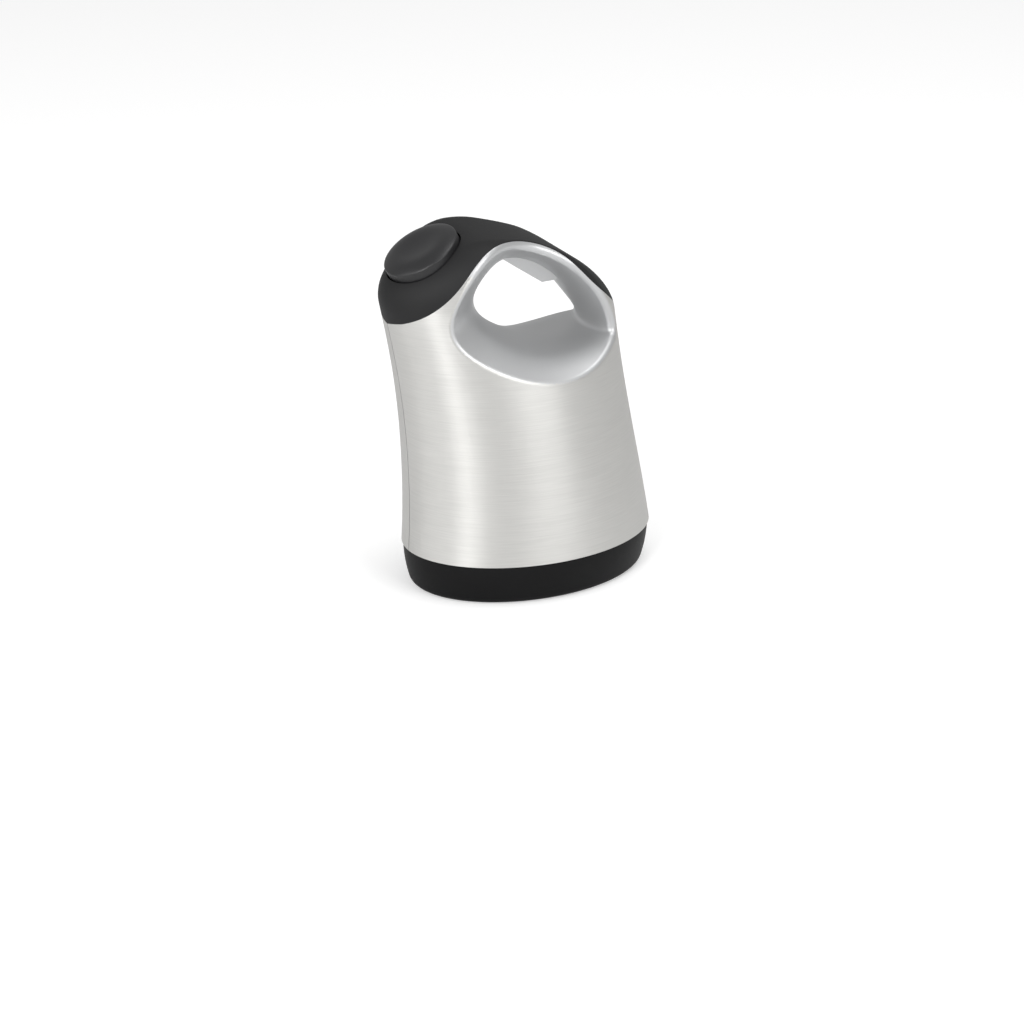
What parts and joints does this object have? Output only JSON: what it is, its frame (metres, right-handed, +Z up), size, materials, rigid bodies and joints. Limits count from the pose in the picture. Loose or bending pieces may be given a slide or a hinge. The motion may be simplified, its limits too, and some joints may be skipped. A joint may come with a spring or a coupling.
{
  "type": "electric can opener",
  "caption": "Cordless can opener: leaning oval silver housing with a finger hole under its arch, black cap, round start button, and a black base over a motor-driven cutter.",
  "frame": {"origin": "on the table, under the middle of the oval where the base meets the housing", "axes": "+Z up; -X towards the start button and the head's nose; +Y towards the battery door and the rim mouth at the back"},
  "size_m": [0.0939, 0.062, 0.1218],
  "materials": {
    "silver_shell": "satin silver, brushed across",
    "silver_smooth": "smooth satin silver",
    "soft_black": "matt soft-touch",
    "button_black": "satin",
    "base_black": "satin",
    "steel": "turned steel",
    "zinc_steel": "zinc plated",
    "hard_steel": "ground and polished",
    "brass": "machined",
    "gear_white": "natural moulded plastic",
    "motor_steel": "drawn steel can",
    "cell_jacket": "printed sleeve without print",
    "tray_grey": "moulded",
    "contact_nickel": "nickel plated",
    "board_green": "varnished circuit board",
    "switch_black": "moulded",
    "friction_pad": "friction disc"
  },
  "bodies": {
    "housing": {"front_shell": "silver_shell", "rear_shell": "silver_shell", "top_cap": "soft_black", "finger_rest": "silver_smooth", "housing_screws": "zinc_steel", "switch_body": "switch_black", "switch_board": "board_green", "board_screws": "zinc_steel", "button_spring": "steel", "base_housing": "base_black", "base_screws": "zinc_steel", "rim_guides": "steel", "lid_magnet": "contact_nickel", "magnet_cup": "zinc_steel", "gear_plate": "zinc_steel", "plate_screws": "zinc_steel", "gear_arbors": "steel", "lower_bush": "brass", "upper_bush": "brass", "motor_case": "motor_steel", "motor_screws": "zinc_steel", "battery_tray": "tray_grey", "battery_cells": "cell_jacket", "contact_strips": "contact_nickel", "contact_springs": "contact_nickel"},
    "button": {"start_button": "button_black", "switch_plunger": "switch_black"},
    "drive": {"drive_wheel": "hard_steel", "drive_shaft": "steel", "drive_gear": "steel", "drive_nut": "zinc_steel"},
    "second_gear": {"second_gear": "gear_white"},
    "first_gear": {"first_gear": "gear_white"},
    "rotor": {"motor_shaft": "steel", "motor_pinion": "brass"},
    "cutter_arm": {"cutter_arm": "zinc_steel", "arm_shaft": "steel", "friction_disc": "friction_pad", "cutter_axle": "steel"},
    "cutter_wheel": {"cutter_wheel": "hard_steel"},
    "battery_door": {"battery_door": "silver_shell"}
  },
  "joints": [
    {"name": "button_press", "type": "slide", "parent": "housing", "child": "button", "axis": [0.4848, 0, -0.8746], "range_m": [0, 0.0012], "stiffness_N_per_m": 1200, "springref_m": -0.002, "deforming": ["button_spring"]},
    {"name": "drive_spin", "type": "hinge", "parent": "housing", "child": "drive", "pos_m": [0, 0.0125, 0], "axis": [0, 0, 1], "continuous": true},
    {"name": "second_spin", "type": "hinge", "parent": "housing", "child": "second_gear", "pos_m": [-0.00964, -0.00126, 0], "axis": [0, 0, 1], "continuous": true},
    {"name": "first_spin", "type": "hinge", "parent": "housing", "child": "first_gear", "pos_m": [-0.0041, -0.01648, 0], "axis": [0, 0, 1], "continuous": true},
    {"name": "motor_spin", "type": "hinge", "parent": "housing", "child": "rotor", "pos_m": [0.00798, -0.01325, 0], "axis": [0, 0, 1], "continuous": true},
    {"name": "cutter_swing", "type": "hinge", "parent": "housing", "child": "cutter_arm", "pos_m": [-0.017, -0.006, 0], "axis": [0, 0, 1], "range_deg": [0, 15]},
    {"name": "cutter_spin", "type": "hinge", "parent": "cutter_arm", "child": "cutter_wheel", "pos_m": [0, -0.0083, 0], "axis": [0, 0, 1], "continuous": true},
    {"name": "battery_door_pull", "type": "slide", "parent": "housing", "child": "battery_door", "axis": [0, 1, 0], "range_m": [0, 0.03]}
  ],
  "couplings": [
    {"joint": "second_spin", "follows": "drive_spin", "ratio": -3.8},
    {"joint": "first_spin", "follows": "drive_spin", "ratio": 16.72},
    {"joint": "motor_spin", "follows": "drive_spin", "ratio": -66.88}
  ]
}
